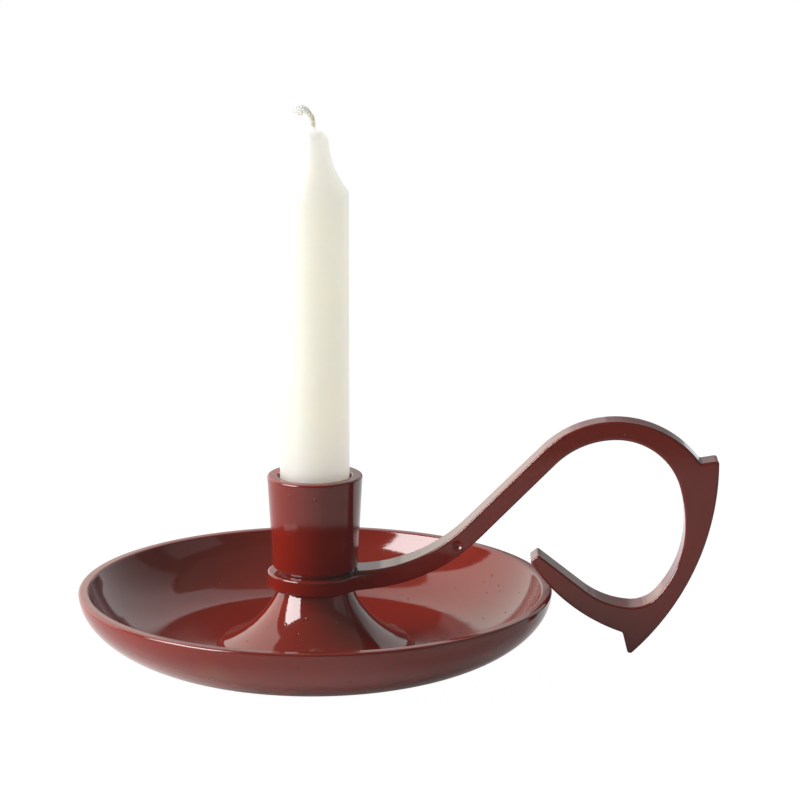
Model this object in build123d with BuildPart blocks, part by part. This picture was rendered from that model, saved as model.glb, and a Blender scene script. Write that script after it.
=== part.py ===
from build123d import *
from math import cos, radians, sin, tan
import os

os.makedirs("parts", exist_ok=True)

# Chamberstick: millimetres, +Z up, origin on the table under the middle of the pan, handle towards +X

# Drip pan
pan_radius = 75.0
pan_height = 23.0
pan_base_radius = 31.0
pan_rim_width = 3.3
pan_floor = 3.8
pan_floor_radius = 49.5
pan_floor_rise = 1.6
pan_rim_round = 0.8

# Tie screw, washer and the recess that hides them
screw_diameter = 6.0
screw_head_diameter = 12.0
screw_head_height = 4.0
screw_head_round = 1.4
screw_slot_width = 1.6
screw_slot_depth = 1.8
screw_end_space = 0.8
washer_diameter = 14.0
washer_thickness = 1.6
washer_clearance = 0.2
recess_side_gap = 1.0
recess_spare_depth = 1.0
shank_clearance = 0.3
thread_clearance = 0.05

# Boss on the pan's floor that centres the pedestal
boss_wall = 4.0
boss_roof = 3.0
boss_clearance = 0.2

# Pedestal
pedestal_height = 19.9
pedestal_foot_radius = 30.1
pedestal_foot_edge = 1.9
pedestal_foot_round = 1.3
pedestal_neck_radius = 11.5
pedestal_flare_radius = 30.0

# Handle: eye ring
ring_radius = 15.1
ring_thickness = 4.8
ring_round = 0.5
ring_neck_fillet = 4.0
ring_neck_reach = 3.5
ring_neck_flare = 25.0
ring_neck_inset = 0.25

# Handle: strap, which narrows upwards as a casting does
strap_width_low = 12.0
strap_width_high = 8.4
strap_depth = 6.0
strap_slope = 45.0
strap_round = 0.6
strap_root_rise = 1.0
strap_root_sink = 0.3
strap_neck_gap = 0.6

# Handle: arch, measured outwards and upwards from the pan's rim
arch_reach = 19.6
arch_rise = 21.7
arch_radius = 32.9
arch_fall = 53.8

# Handle: finger loop, a chain of tangent arcs from the arch to a straight lip with a free tip
finger_top_radius = 21.0
finger_top_sweep = 74.2
finger_wall_radius = 46.7
finger_wall_sweep = 15.9
finger_turn_radius = 33.7
finger_turn_sweep = 42.0
finger_floor_radius = 10.3
finger_floor_sweep = 52.4
finger_scoop_radius = 27.0
finger_scoop_sweep = 33.8
finger_lip_length = 18.2
tip_depth = 3.5
tip_angle = 75.5
tip_rim_gap = 0.2

# Handle: crescent with a barb at each end
barb_length = 5.9
barb_tilt = 9.0
crescent_reach = 24.1
crescent_bulge = 7.6
crescent_foot_height = 1.8
heel_back = 1.9
heel_rise = 7.6
corner_round = 1.0

# Handle: bare round dimple on the front of the strap
dimple_radius = 1.9
dimple_depth = 0.8
dimple_place = 0.847

# Candle and wick
candle_radius = 11.0
candle_length = 115.5
candle_foot_round = 0.6
candle_taper_height = 16.4
candle_waist_radius = 7.0
candle_waist_height = 6.7
candle_top_radius = 4.7
candle_crown_height = 2.7
candle_crown_round = 3.6
candle_neck_radius = 1.75
candle_neck_height = 1.5
candle_neck_lip = 0.25
wick_radius = 0.8
wick_clearance = 0.1
wick_stand = 1.0
wick_lean_radius = 6.0
wick_lean_turn = 45.0
wick_hook_radius = 1.9
wick_hook_turn = 120.0

# Candle cup
cup_height = 31.2
cup_top_radius = 15.1
cup_base_radius = 13.4
cup_base_round = 0.9
cup_foot_radius = 11.2
cup_foot_height = 1.3
cup_rim_round = 0.7
cup_floor = 5.8
socket_clearance = 0.5
socket_floor_round = 1.0
spigot_radius = 5.0
spigot_clearance = 0.15
spigot_short = 0.3
thread_depth = 4.0

# Heights of the stack
recess_depth = recess_spare_depth + screw_head_height + washer_thickness
boss_top = recess_depth + boss_roof
ring_bottom = pan_floor + pedestal_height
ring_top = ring_bottom + ring_thickness
socket_z = ring_top + cup_floor
cup_rim = ring_top + cup_height
spigot_end = ring_bottom + spigot_short
thread_end = ring_top + thread_depth
screw_end = thread_end - screw_end_space
shoulder_z = socket_z + candle_length
candle_top_z = shoulder_z + candle_taper_height
crown_z = candle_top_z + candle_crown_height
neck_z = crown_z + candle_neck_height

# Shared radii
shank_radius = screw_diameter / 2
shank_hole_radius = shank_radius + shank_clearance
recess_radius = washer_diameter / 2 + recess_side_gap
boss_radius = recess_radius + boss_wall
boss_socket_radius = boss_radius + boss_clearance
socket_radius = candle_radius + socket_clearance
wick_hole_radius = wick_radius + wick_clearance
eye_radius = spigot_radius + spigot_clearance
thread_radius = shank_radius + thread_clearance


def polar(length, angle):
    """Offset of a length at an angle in degrees."""
    return Vector(length * cos(radians(angle)), length * sin(radians(angle)))


def corner(outline, point):
    """The vertex of an outline that lies at a point of its plane."""
    return outline.vertices().sort_by_distance(point)[0]


# Drip pan: an elliptical outside, a shallow floor and a round wall, with a centring boss and a recess below
with BuildPart() as drip_pan:
    with BuildSketch(Plane.XZ) as pan_section:
        with BuildLine():
            pan_outside = EllipticalCenterArc(
                (pan_base_radius, pan_height),
                pan_radius - pan_base_radius,
                pan_height,
                start_angle=270,
                arc_size=90,
            )
            pan_slope = Line(
                (pan_base_radius, pan_floor),
                (pan_floor_radius, pan_floor + pan_floor_rise),
            )
            pan_inside = TangentArc(
                pan_slope @ 1,
                (pan_radius - pan_rim_width, pan_height),
                tangent=pan_slope % 1,
            )
            Line(pan_outside @ 1, pan_inside @ 1)
            Polyline(
                pan_slope @ 0,
                (boss_radius, pan_floor),
                (boss_radius, boss_top),
                (0, boss_top),
                (0, 0),
                pan_outside @ 0,
            )
        make_face()
    revolve(axis=Axis.Z)
    fillet(drip_pan.faces().filter_by(Plane.XY).group_by(Axis.Z)[-1].edges(), pan_rim_round)
    with Locations(-Plane.XY):
        CounterBoreHole(
            radius=shank_hole_radius,
            counter_bore_radius=recess_radius,
            counter_bore_depth=recess_depth,
        )
drip_pan.part.label = "drip_pan"
export_step(drip_pan.part, "parts/drip_pan.step")

# Pedestal: a trumpet with a rounded foot, hollowed below to sit over the boss
with BuildPart() as pedestal:
    with BuildSketch(Plane.XZ) as pedestal_section:
        foot_edge = Vector(pedestal_foot_radius, pan_floor + pedestal_foot_edge)
        with BuildLine():
            flare = RadiusArc((pedestal_neck_radius, ring_bottom), foot_edge, -pedestal_flare_radius)
            Polyline(
                flare @ 1,
                (pedestal_foot_radius, pan_floor),
                (boss_socket_radius, pan_floor),
                (boss_socket_radius, boss_top + boss_clearance),
                (shank_hole_radius, boss_top + boss_clearance),
                (shank_hole_radius, ring_bottom),
                flare @ 0,
            )
        make_face()
        fillet(corner(pedestal_section, foot_edge), pedestal_foot_round)
    revolve(axis=Axis.Z)
pedestal.part.label = "pedestal"
export_step(pedestal.part, "parts/pedestal.step")

# Handle: the strap's two edges leave the ring flat, bend up to one slope and run into the arch
arch_center = Vector(pan_radius + arch_reach, pan_height + arch_rise)
arch_crown = arch_center.Y + arch_radius
slope_normal = polar(1, strap_slope + 90)
slope_tangent = polar(1, strap_slope)
rise_top = arch_center + slope_normal * arch_radius
rise_under = arch_center + slope_normal * (arch_radius - strap_depth)
bend_factor = tan(radians(strap_slope / 2))


def bend_radius(rise_point, root_x, root_z):
    """Radius that turns a level edge, from its root, into the sloped edge through a point."""
    meeting_x = rise_point.X - (rise_point.Y - root_z) / tan(radians(strap_slope))
    return (meeting_x - root_x) / bend_factor


top_root_z = ring_top + strap_root_rise
under_root_z = ring_bottom - strap_root_sink
strap_start = pedestal_neck_radius + strap_neck_gap
top_bend = bend_radius(rise_top, strap_start, top_root_z)
under_bend = bend_radius(rise_under, strap_start, under_root_z)
crescent_foot = Vector(pan_radius + crescent_reach, crescent_foot_height)
heel = crescent_foot + Vector(-heel_back, heel_rise)
rim_pass = Vector(pan_radius + tip_rim_gap, pan_height + tip_rim_gap)


def strap_width(height):
    """Width of the tapered casting at a height above the table."""
    return strap_width_low - (strap_width_low - strap_width_high) * height / arch_crown


# Eye ring of the handle, with a short neck that flares from the strap's width
with BuildPart() as eye_ring:
    with BuildSketch(Plane.XY.offset(ring_bottom)) as eye_plan:
        neck_end = ring_radius + ring_neck_reach
        neck_half = strap_width(ring_bottom) / 2 - ring_neck_inset
        flare_half = neck_half + neck_end * tan(radians(ring_neck_flare))
        Circle(ring_radius)
        with BuildLine():
            Polyline(
                (0, -flare_half),
                (neck_end, -neck_half),
                (neck_end, neck_half),
                (0, flare_half),
                close=True,
            )
        make_face()
        neck_corners = eye_plan.vertices().filter_by_position(Axis.X, 0, neck_end, (False, False))
        fillet(neck_corners, ring_neck_fillet)
    extrude(amount=ring_thickness)
    fillet(eye_ring.faces().filter_by(Plane.XY).edges(), ring_round)
    with BuildSketch(Plane.XY.offset(ring_bottom)) as eye_hole:
        Circle(eye_radius)
    extrude(amount=ring_thickness, mode=Mode.SUBTRACT)

# Handle: one casting of strap, arch, finger loop and crescent, joined to the eye ring
with BuildPart() as handle:
    with BuildSketch(Plane.XZ) as strap_outline:
        with BuildLine():
            top_root = JernArc((strap_start, top_root_z), (1, 0), top_bend, strap_slope)
            Line(top_root @ 1, rise_top)
            arch = JernArc(rise_top, slope_tangent, arch_radius, -strap_slope - arch_fall)
            notch = arch @ 1
            barb = notch + polar(barb_length, barb_tilt)
            Line(notch, barb)
            SagittaArc(barb, crescent_foot, crescent_bulge)
            Line(crescent_foot, heel)
            crown_under = Vector(arch_center.X, arch_crown - strap_depth)
            finger_top = JernArc(crown_under, (1, 0), finger_top_radius, -finger_top_sweep)
            finger_wall = JernArc(
                finger_top @ 1, finger_top % 1, finger_wall_radius, -finger_wall_sweep
            )
            finger_turn = JernArc(
                finger_wall @ 1, finger_wall % 1, finger_turn_radius, -finger_turn_sweep
            )
            finger_floor = JernArc(
                finger_turn @ 1, finger_turn % 1, finger_floor_radius, -finger_floor_sweep
            )
            finger_scoop = JernArc(
                finger_floor @ 1, finger_floor % 1, finger_scoop_radius, -finger_scoop_sweep
            )
            tip_high = finger_scoop @ 1 + (finger_scoop % 1) * finger_lip_length
            tip_low = tip_high + (finger_scoop % 1).rotate(Axis.Z, tip_angle) * tip_depth
            Line(finger_scoop @ 1, tip_high)
            Line(tip_high, tip_low)
            ThreePointArc(tip_low, rim_pass, heel)
            JernArc(crown_under, (-1, 0), arch_radius - strap_depth, strap_slope)
            under_root = JernArc((strap_start, under_root_z), (1, 0), under_bend, strap_slope)
            Line(under_root @ 1, rise_under)
            Line(under_root @ 0, top_root @ 0)
        make_face()
        sharp_corners = [notch, barb, crescent_foot, heel, tip_high, tip_low]
        fillet([corner(strap_outline, point) for point in sharp_corners], corner_round)
    extrude(amount=strap_width_low, both=True)
    with BuildSketch(Plane.YZ) as casting_taper:
        with BuildLine():
            Polyline(
                (-strap_width_low / 2, 0),
                (strap_width_low / 2, 0),
                (strap_width_high / 2, arch_crown),
                (-strap_width_high / 2, arch_crown),
                close=True,
            )
        make_face()
    extrude(amount=barb.X, mode=Mode.INTERSECT)
    side_faces = handle.faces().sort_by(Axis.Y)
    fillet(side_faces[0].edges() + side_faces[-1].edges(), strap_round)
    add(eye_ring.part)
    dimple_center = (top_root @ dimple_place + under_root @ dimple_place) / 2
    dimple_y = dimple_depth - dimple_radius - strap_width(dimple_center.Y) / 2
    with Locations((dimple_center.X, dimple_y, dimple_center.Y)):
        Sphere(dimple_radius, mode=Mode.SUBTRACT)
handle.part.label = "handle"
export_step(handle.part, "parts/handle.step")

# Candle cup: a tapered cup with a plain socket, and a tapped spigot that centres the ring
with BuildPart() as candle_cup:
    with BuildSketch(Plane.XZ) as cup_section:
        cup_base_z = ring_top + cup_foot_height
        base_corner = Vector(cup_base_radius, cup_base_z)
        rim_corner = Vector(cup_top_radius, cup_rim)
        mouth_corner = Vector(socket_radius, cup_rim)
        floor_corner = Vector(socket_radius, socket_z)
        with BuildLine():
            Polyline(
                (thread_radius, spigot_end),
                (spigot_radius, spigot_end),
                (spigot_radius, ring_top),
                (cup_foot_radius, ring_top),
                (cup_foot_radius, cup_base_z),
                base_corner,
                rim_corner,
                mouth_corner,
                floor_corner,
                (0, socket_z),
                (0, thread_end),
                (thread_radius, thread_end),
                close=True,
            )
        make_face()
        fillet(corner(cup_section, base_corner), cup_base_round)
        fillet([corner(cup_section, rim_corner), corner(cup_section, mouth_corner)], cup_rim_round)
        fillet(corner(cup_section, floor_corner), socket_floor_round)
    revolve(axis=Axis.Z)
candle_cup.part.label = "candle_cup"
export_step(candle_cup.part, "parts/candle_cup.step")

# Washer in the recess under the pan
with BuildPart() as washer:
    with BuildSketch(Plane.XY.offset(recess_depth - washer_thickness)) as washer_plan:
        Circle(washer_diameter / 2)
        Circle(shank_radius + washer_clearance, mode=Mode.SUBTRACT)
    extrude(amount=washer_thickness)
washer.part.label = "washer"
export_step(washer.part, "parts/washer.step")

# Tie screw: a slotted cheese head below, its shank up into the cup's spigot
with BuildPart() as tie_screw:
    with BuildSketch(Plane.XY.offset(recess_spare_depth)) as screw_head:
        Circle(screw_head_diameter / 2)
    extrude(amount=screw_head_height)
    fillet(tie_screw.edges().group_by(Axis.Z)[0], screw_head_round)
    with BuildSketch(Plane.XY.offset(recess_spare_depth)) as screw_slot:
        Rectangle(screw_head_diameter, screw_slot_width)
    extrude(amount=screw_slot_depth, mode=Mode.SUBTRACT)
    with BuildSketch(Plane.XY.offset(recess_spare_depth + screw_head_height)) as screw_shank:
        Circle(shank_radius)
    extrude(amount=screw_end - recess_spare_depth - screw_head_height)
tie_screw.part.label = "tie_screw"
export_step(tie_screw.part, "parts/tie_screw.step")

# Candle: straight to the shoulder, drawn in by a hollow curve, with a crown and a small neck round the wick
with BuildPart() as candle:
    with BuildSketch(Plane.XZ) as candle_section:
        foot_corner = Vector(candle_radius, socket_z)
        taper_end = Vector(candle_top_radius, candle_top_z)
        crown_end = Vector(candle_neck_radius, crown_z)
        with BuildLine():
            Polyline((wick_hole_radius, socket_z), foot_corner, (candle_radius, shoulder_z))
            ThreePointArc(
                (candle_radius, shoulder_z),
                (candle_waist_radius, shoulder_z + candle_waist_height),
                taper_end,
            )
            RadiusArc(taper_end, crown_end, -candle_crown_round)
            Polyline(
                crown_end,
                (wick_hole_radius + candle_neck_lip, neck_z),
                (wick_hole_radius, neck_z),
                (wick_hole_radius, socket_z),
            )
        make_face()
        fillet(corner(candle_section, foot_corner), candle_foot_round)
    revolve(axis=Axis.Z)
candle.part.label = "candle"
export_step(candle.part, "parts/candle.step")

# Wick: up the middle of the candle, then over in a hook towards the side away from the handle
with BuildPart() as wick:
    lean_start = (0, neck_z + wick_stand)
    with BuildLine(Plane.XZ) as wick_path:
        Line((0, socket_z), lean_start)
        lean = JernArc(lean_start, (0, 1), wick_lean_radius, wick_lean_turn)
        JernArc(lean @ 1, lean % 1, wick_hook_radius, wick_hook_turn)
    with BuildSketch(Plane.XY.offset(socket_z)) as wick_section:
        Circle(wick_radius)
    sweep()
wick.part.label = "wick"
export_step(wick.part, "parts/wick.step")
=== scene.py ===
import logging
import math
from dataclasses import dataclass
from enum import Enum

import bmesh
import bpy
from mathutils import Matrix, Vector
from mathutils.bvhtree import BVHTree


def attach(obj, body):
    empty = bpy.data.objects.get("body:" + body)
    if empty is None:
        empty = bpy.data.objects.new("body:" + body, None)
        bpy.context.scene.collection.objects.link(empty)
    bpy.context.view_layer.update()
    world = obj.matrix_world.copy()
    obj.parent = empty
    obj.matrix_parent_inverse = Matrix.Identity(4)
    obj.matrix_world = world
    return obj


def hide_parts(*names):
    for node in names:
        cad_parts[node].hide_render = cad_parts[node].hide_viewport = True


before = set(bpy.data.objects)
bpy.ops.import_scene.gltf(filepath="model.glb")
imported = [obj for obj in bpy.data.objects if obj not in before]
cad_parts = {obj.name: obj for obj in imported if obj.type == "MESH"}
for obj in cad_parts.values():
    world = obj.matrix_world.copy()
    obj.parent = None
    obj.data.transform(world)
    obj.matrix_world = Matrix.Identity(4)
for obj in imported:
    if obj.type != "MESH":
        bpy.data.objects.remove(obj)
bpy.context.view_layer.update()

MM = 0.001
WHITE = (1.0, 1.0, 1.0)
WARM = (1.0, 0.95, 0.76)
NEARLY_STRAIGHT = math.radians(89.5)
LOG = logging.getLogger("chamberstick")

Point = tuple[float, float]
Spot = tuple[float, float, float]
Corner = tuple[float, float, float]
Tint = tuple[float, float, float]
Colour = tuple[float, float, float, float]
Sockets = bpy.types.bpy_prop_collection


class Body(Enum):
    """Rigid bodies of the frame that pieces ride on."""

    HOLDER = "holder"
    CANDLE = "candle"


class Slot(Enum):
    """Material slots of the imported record."""

    ENAMEL = "red_enamel"
    WAX = "wax"
    COTTON = "cotton"


class Lit(Enum):
    """Pieces that a lamp reaches: all, the candle alone, or all but the candle."""

    ALL = "all"
    CANDLE = "shone_through"
    HOLDER = "kept_off"


# Nodes


class Net:
    """Node tree with short ways to add to it."""

    def __init__(self, tree: bpy.types.NodeTree) -> None:
        """Take the tree."""
        self.tree = tree

    def feed(self, node: bpy.types.Node, inputs: dict[str | int, object]) -> None:
        """Link or set the inputs of a node.

        Args:
            node: Node to feed.
            inputs: By name or place, a socket to link, a node whose first output is linked, or a value to set.
        """
        for name, value in inputs.items():
            if isinstance(value, bpy.types.Node):
                value = value.outputs[0]
            if isinstance(value, bpy.types.NodeSocket):
                self.tree.links.new(value, node.inputs[name])
            else:
                node.inputs[name].default_value = value

    def node(self, kind: str, inputs: dict[str | int, object] | None = None, **settings: object) -> bpy.types.Node:
        """Add a node.

        Args:
            kind: Type name of the node.
            inputs: What its inputs take, as for feed.
            **settings: Its properties, by name.

        Returns:
            The new node.
        """
        node = self.tree.nodes.new(kind)
        for name, value in settings.items():
            setattr(node, name, value)
        self.feed(node, inputs or {})
        return node

    def calc(self, operation: str, *operands: object, clamp: bool = False) -> bpy.types.NodeSocket:
        """Add one step of arithmetic on sockets or numbers, kept between 0 and 1 if clamped."""
        node = self.node("ShaderNodeMath", dict(enumerate(operands)), operation=operation, use_clamp=clamp)
        return node.outputs[0]

    def product(self, first: object, *others: object) -> bpy.types.NodeSocket:
        """Multiply several values in turn.

        Args:
            first: First socket or number.
            *others: Sockets or numbers to multiply it with.

        Returns:
            The product's socket.
        """
        for other in others:
            first = self.calc("MULTIPLY", first, other)
        return first

    def ramp(self, value: object, low: float, high: float) -> bpy.types.NodeSocket:
        """Stretch a value smoothly, so that low becomes 0 and high becomes 1."""
        inputs = {"Value": value, "From Min": low, "From Max": high}
        return self.node("ShaderNodeMapRange", inputs, interpolation_type="SMOOTHSTEP").outputs["Result"]

    def mix(self, share: object, first: object, second: object) -> bpy.types.NodeSocket:
        """Mix two colours by the share of the second."""
        return self.node("ShaderNodeMix", {0: share, 6: first, 7: second}, data_type="RGBA").outputs[2]

    def split(self, vector: object) -> Sockets:
        """Part a vector into X, Y and Z."""
        return self.node("ShaderNodeSeparateXYZ", {0: vector}).outputs


def effect_net(name: str, inputs: dict[str, float], outputs: list[str]) -> tuple[Net, Sockets]:
    """Start a shader group that works on Object coordinates.

    Args:
        name: Name of the group.
        inputs: Named values with their defaults.
        outputs: Names of the values that it puts out.

    Returns:
        The group's tree, and what it is given: the place and the named values.
    """
    tree = bpy.data.node_groups.new(name, "ShaderNodeTree")
    tree.interface.new_socket("Place", in_out="INPUT", socket_type="NodeSocketVector")
    for label, value in inputs.items():
        socket = tree.interface.new_socket(label, in_out="INPUT", socket_type="NodeSocketFloat")
        socket.default_value = value
    for label in outputs:
        tree.interface.new_socket(label, in_out="OUTPUT", socket_type="NodeSocketFloat")
    net = Net(tree)
    return net, net.node("NodeGroupInput").outputs


class Effects:
    """Shader groups that several finishes share, each built once."""

    def __init__(self) -> None:
        """Build the groups."""
        self.grain = self._grain()
        self.specks = self._specks()

    @staticmethod
    def _grain() -> bpy.types.NodeTree:
        """Slow clouds and a fine grain of a poured or dipped surface.

        Returns:
            The group.
        """
        net, given = effect_net("surface_grain", {"Cloud Scale": 60.0, "Grain Scale": 900.0}, ["Clouds", "Grain"])
        noises = {}
        for label, scale, detail in (("Clouds", "Cloud Scale", 3.0), ("Grain", "Grain Scale", 2.0)):
            noises[label] = net.node(
                "ShaderNodeTexNoise", {"Vector": given["Place"], "Scale": given[scale], "Detail": detail})
        net.node("NodeGroupOutput", noises)
        return net.tree

    @staticmethod
    def _specks() -> bpy.types.NodeTree:
        """Sparse round specks, each with its own size.

        Returns:
            The group.
        """
        net, given = effect_net("sparse_specks", {"Scale": 300.0, "Share": 0.05, "Size": 0.25}, ["Mask"])
        cells = net.node("ShaderNodeTexVoronoi", {"Vector": given["Place"], "Scale": given["Scale"]})
        chance = net.node("ShaderNodeSeparateColor", {0: cells.outputs["Color"]}).outputs
        chosen = net.calc("LESS_THAN", chance[0], given["Share"])
        reach = net.calc("MAXIMUM", net.product(chance[1], given["Size"]), 0.001)
        dome = net.calc("SUBTRACT", 1.0, net.calc("DIVIDE", cells.outputs["Distance"], reach), clamp=True)
        net.node("NodeGroupOutput", {"Mask": net.product(dome, chosen)})
        return net.tree


# Finishes


class Coat(Net):
    """Material in the making, with one Principled shader."""

    def __init__(self, name: str) -> None:
        """Open a material.

        Args:
            name: Name of the material.
        """
        self.material = bpy.data.materials.new(name)
        self.material.use_nodes = True
        super().__init__(self.material.node_tree)
        self.shader = self.tree.nodes["Principled BSDF"]

    def coordinates(self) -> bpy.types.NodeSocket:
        """Add Object coordinates."""
        return self.node("ShaderNodeTexCoord").outputs["Object"]

    def surface(self, shader: bpy.types.Node) -> None:
        """Let a shader make the surface."""
        self.feed(self.tree.nodes["Material Output"], {"Surface": shader})

    def effect(self, group: bpy.types.NodeTree, place: bpy.types.NodeSocket, **values: float) -> Sockets:
        """Place a shared effect at its coordinates, with its values named by underscores for spaces."""
        inputs = {name.replace("_", " "): value for name, value in values.items()}
        return self.node("ShaderNodeGroup", {"Place": place, **inputs}, node_tree=group).outputs

    def bump(self, height: bpy.types.NodeSocket, distance: float) -> bpy.types.Node:
        """Let a height tilt the surface.

        Args:
            height: Height from 0 to 1.
            distance: Height of 1, in metres.

        Returns:
            The node that tilts it.
        """
        tilt = self.node("ShaderNodeBump", {"Strength": 1.0, "Distance": distance, "Height": height})
        self.feed(self.shader, {"Normal": tilt})
        return tilt


@dataclass(frozen=True)
class EnamelFinish:
    """Glossy oxblood enamel over cast metal, with specks, one brown stain, a rubbed underside and a faint painted glow
    that stands in for its reflected sheen.
    """

    name: str = "oxblood_enamel"
    deep: Colour = (0.235, 0.0112, 0.0035, 1.0)
    bright: Colour = (0.280, 0.0140, 0.0045, 1.0)
    speck: Colour = (0.050, 0.0070, 0.0050, 1.0)
    light: Colour = (0.42, 0.085, 0.045, 1.0)
    stain: Colour = (0.30, 0.075, 0.018, 1.0)
    bare: Colour = (0.085, 0.070, 0.062, 1.0)
    stain_place: Spot = (-0.029, -0.0665, 0.0125)
    stain_share: float = 0.45
    stain_raggedness: float = 9.0
    stain_fade: tuple[float, float] = (12.0, 4.0)
    rubbed_height: tuple[float, float] = (0.30, 0.05)
    rubbed_clouds: tuple[float, float] = (0.30, 0.55)
    gloss: float = 0.045
    gloss_spread: float = 0.05
    rubbed_roughness: float = 0.4
    # Painted reflection: a faint even white glow over the whole enamel that stands in for its pale reflected sheen
    sheen_glow_colour: Colour = (1.0, 0.96, 0.93, 1.0)
    sheen_glow: float = 0.009
    relief: float = 0.009
    edge: float = 0.0

    def material(self, effects: Effects) -> bpy.types.Material:
        """Make the enamel.

        Args:
            effects: Shared shader groups.

        Returns:
            The material.
        """
        coat = Coat(self.name)
        place = coat.coordinates()
        grain = coat.effect(effects.grain, place, Cloud_Scale=45.0, Grain_Scale=1500.0)
        specks = coat.effect(effects.specks, place, Scale=260.0, Share=0.05, Size=0.30)
        dust = coat.effect(effects.specks, place, Scale=430.0, Share=0.035, Size=0.26)
        clouds = grain["Clouds"]
        colour = coat.mix(clouds, self.deep, self.bright)
        colour = coat.mix(specks["Mask"], colour, self.speck)
        colour = coat.mix(dust["Mask"], colour, self.light)
        away = coat.node("ShaderNodeVectorMath", {0: place, 1: self.stain_place}, operation="DISTANCE")
        ragged = coat.calc("MULTIPLY_ADD", clouds, self.stain_raggedness * MM, away.outputs["Value"])
        outside, inside = self.stain_fade
        stained = coat.product(coat.ramp(ragged, outside * MM, inside * MM), self.stain_share)
        colour = coat.mix(stained, colour, self.stain)
        highest, lowest = self.rubbed_height
        worn = coat.ramp(coat.split(place)["Z"], highest * MM, lowest * MM)
        rubbed = coat.product(worn, coat.ramp(clouds, *self.rubbed_clouds))
        rough = coat.calc("MULTIPLY_ADD", clouds, self.gloss_spread, self.gloss)
        coat.feed(coat.shader, {
            "Base Color": coat.mix(rubbed, colour, self.bare),
            "Roughness": coat.calc("ADD", rough, coat.product(worn, self.rubbed_roughness)),
            # Painted reflection: the faint glow stands in for the enamel's reflected sheen
            "Emission Color": self.sheen_glow_colour,
            "Emission Strength": self.sheen_glow,
        })
        tilt = coat.bump(coat.calc("ADD", grain["Grain"], specks["Mask"]), self.relief * MM)
        if self.edge:
            coat.feed(tilt, {"Normal": coat.node("ShaderNodeBevel", {"Radius": self.edge * MM}, samples=16)})
        return coat.material


@dataclass(frozen=True)
class WaxFinish:
    """Cream candle wax with faint handling marks."""

    cream: Colour = (0.94, 0.915, 0.79, 1.0)
    pale: Colour = (0.96, 0.94, 0.84, 1.0)
    roughness: float = 0.38
    roughness_spread: float = 0.15
    depth: float = 0.024
    depth_by_colour: Tint = (1.0, 0.9, 0.7)
    relief: float = 0.01

    def material(self, effects: Effects) -> bpy.types.Material:
        """Make the wax.

        Args:
            effects: Shared shader groups.

        Returns:
            The material.
        """
        coat = Coat("cream_wax")
        grain = coat.effect(effects.grain, coat.coordinates(), Cloud_Scale=35.0, Grain_Scale=700.0)
        coat.feed(coat.shader, {
            "Base Color": coat.mix(grain["Clouds"], self.cream, self.pale),
            "Roughness": coat.calc("MULTIPLY_ADD", grain["Grain"], self.roughness_spread, self.roughness),
            "Subsurface Weight": 1.0,
            "Subsurface Radius": self.depth_by_colour,
            "Subsurface Scale": self.depth,
        })
        coat.bump(grain["Grain"], self.relief * MM)
        return coat.material


@dataclass(frozen=True)
class CottonFinish:
    """Unbleached cotton yarn, paler towards the wick's end."""

    yarn: Colour = (0.66, 0.56, 0.36, 1.0)
    pale: Colour = (0.92, 0.91, 0.88, 1.0)
    pale_from: float = 172.5
    pale_to: float = 175.5
    roughness: float = 0.75
    roughness_spread: float = 0.2
    relief: float = 0.02

    def material(self, effects: Effects) -> bpy.types.Material:
        """Make the cotton.

        Args:
            effects: Shared shader groups.

        Returns:
            The material.
        """
        coat = Coat("wick_cotton")
        place = coat.coordinates()
        grain = coat.effect(effects.grain, place, Cloud_Scale=900.0, Grain_Scale=6000.0)
        tip = coat.ramp(coat.split(place)["Z"], self.pale_from * MM, self.pale_to * MM)
        coat.feed(coat.shader, {
            "Base Color": coat.mix(coat.calc("MAXIMUM", grain["Clouds"], tip), self.yarn, self.pale),
            "Roughness": coat.calc("MULTIPLY_ADD", grain["Grain"], self.roughness_spread, self.roughness),
        })
        coat.bump(grain["Grain"], self.relief * MM)
        return coat.material


@dataclass(frozen=True)
class ZincFinish:
    """Bright zinc plate on the screw and washer, turned round the axis."""

    bright: Colour = (0.62, 0.63, 0.64, 1.0)
    dull: Colour = (0.42, 0.43, 0.43, 1.0)
    roughness: float = 0.25
    roughness_spread: float = 0.2
    relief: float = 0.006

    def material(self, effects: Effects) -> bpy.types.Material:
        """Make the zinc plate.

        Args:
            effects: Shared shader groups.

        Returns:
            The material.
        """
        coat = Coat("zinc_plate")
        place = coat.coordinates()
        grain = coat.effect(effects.grain, place, Cloud_Scale=220.0, Grain_Scale=2500.0)
        rings = coat.node("ShaderNodeTexWave", {"Vector": place, "Scale": 900.0, "Distortion": 1.5},
                          wave_type="RINGS", rings_direction="Z")
        coat.feed(coat.shader, {
            "Base Color": coat.mix(grain["Clouds"], self.dull, self.bright),
            "Roughness": coat.calc("MULTIPLY_ADD", grain["Grain"], self.roughness_spread, self.roughness),
            "Metallic": 1.0,
        })
        coat.bump(rings.outputs["Fac"], self.relief * MM)
        return coat.material


# Outlines in the plane of radius and height, in millimetres


def swept(centre: Vector, first: Vector, turn: float, steps: int) -> list[Point]:
    """Points of an arc.

    Args:
        centre: Its centre.
        first: Way from the centre to its first point.
        turn: Angle that it covers, clockwise.
        steps: Number of steps.

    Returns:
        Points of the arc with both its ends.
    """
    points = []
    for part in range(steps + 1):
        angle = -turn * part / steps
        cos, sin = math.cos(angle), math.sin(angle)
        points.append((centre.x + first.x * cos - first.y * sin, centre.y + first.x * sin + first.y * cos))
    return points


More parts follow.
